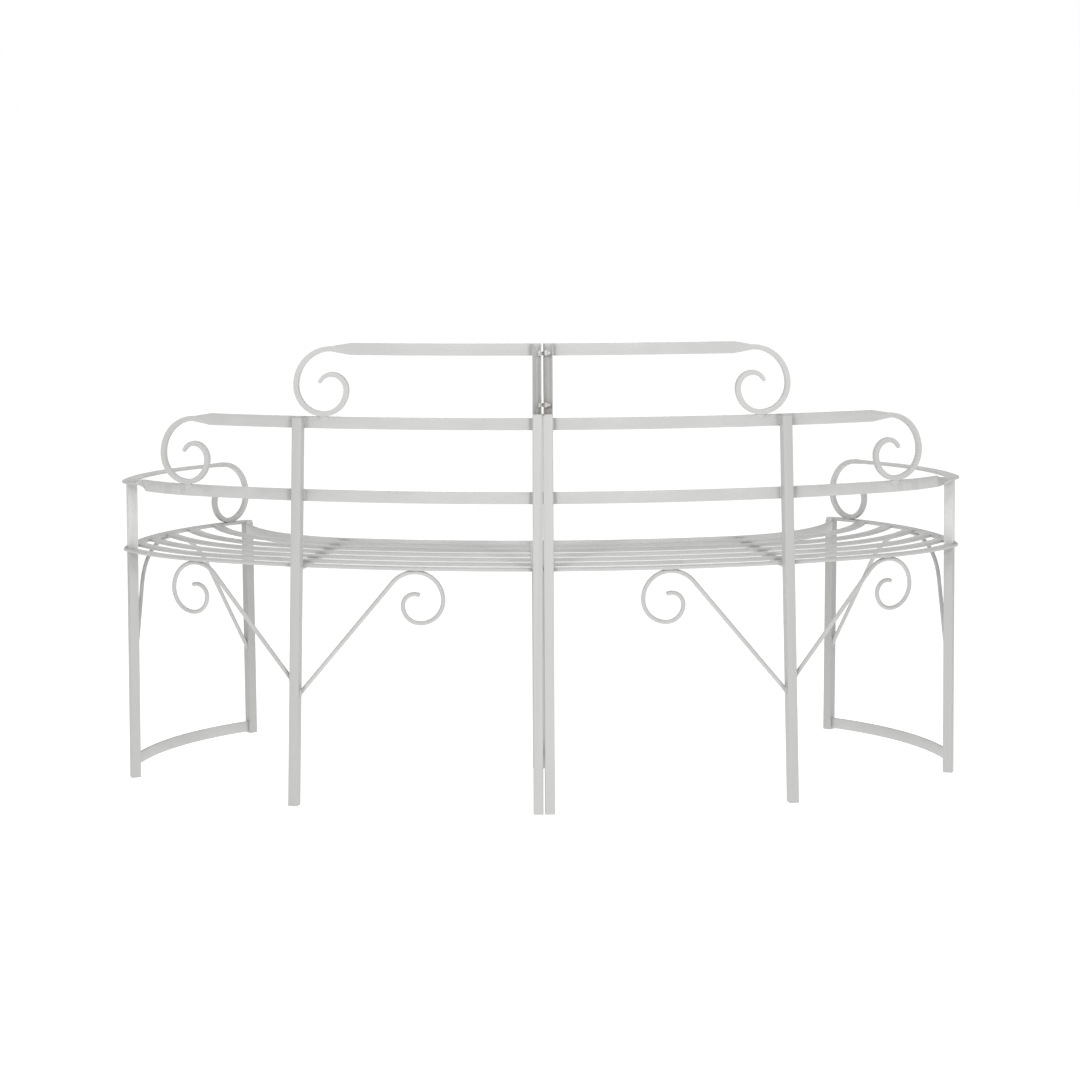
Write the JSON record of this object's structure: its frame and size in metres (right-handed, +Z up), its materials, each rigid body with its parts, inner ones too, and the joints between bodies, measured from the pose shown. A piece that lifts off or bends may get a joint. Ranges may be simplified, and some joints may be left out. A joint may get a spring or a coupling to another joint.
{
  "type": "curved garden bench",
  "caption": "Curved metal garden bench with a stepped open back whose rails end in scrolls, a flat slatted seat, scrolled arms and bent rod braces.",
  "frame": {"origin": "on the floor, under the middle of the box round the bench", "axes": "+X to the right in the picture along the length, +Y the way a sitter faces, +Z up"},
  "size_m": [1.5916, 0.738, 0.8468],
  "materials": {
    "paint": "satin",
    "fastener": "satin",
    "plug": "matte"
  },
  "bodies": {
    "root": {"arch_brace_left": "paint", "arch_brace_right": "paint", "arm_post_left": "paint", "arm_post_right": "paint", "arm_rail_left": "paint", "arm_rail_right": "paint", "centre_post_left": "paint", "centre_post_right": "paint", "end_leg_left": "paint", "end_leg_right": "paint", "end_stretcher_left": "paint", "end_stretcher_right": "paint", "foot_plugs": "plug", "front_leg_left": "paint", "front_leg_right": "paint", "inner_front_leg_left": "paint", "inner_front_leg_right": "paint", "inner_stretcher_left": "paint", "inner_stretcher_right": "paint", "joint_bolts": "fastener", "joint_nuts": "fastener", "mid_post_left": "paint", "mid_post_right": "paint", "middle_rail_left": "paint", "middle_rail_right": "paint", "post_caps": "paint", "scroll_brace_inner_left": "paint", "scroll_brace_inner_right": "paint", "scroll_brace_outer_left": "paint", "scroll_brace_outer_right": "paint", "seat_back_rail_left": "paint", "seat_back_rail_right": "paint", "seat_cross_bar_left": "paint", "seat_cross_bar_right": "paint", "seat_end_bar_left": "paint", "seat_end_bar_right": "paint", "seat_front_rail_left": "paint", "seat_front_rail_right": "paint", "seat_inner_bar_left": "paint", "seat_inner_bar_right": "paint", "seat_slat_1_left": "paint", "seat_slat_1_right": "paint", "seat_slat_2_left": "paint", "seat_slat_2_right": "paint", "seat_slat_3_left": "paint", "seat_slat_3_right": "paint", "seat_slat_4_left": "paint", "seat_slat_4_right": "paint", "seat_slat_5_left": "paint", "seat_slat_5_right": "paint", "top_rail_left": "paint", "top_rail_right": "paint"}
  },
  "joints": []
}
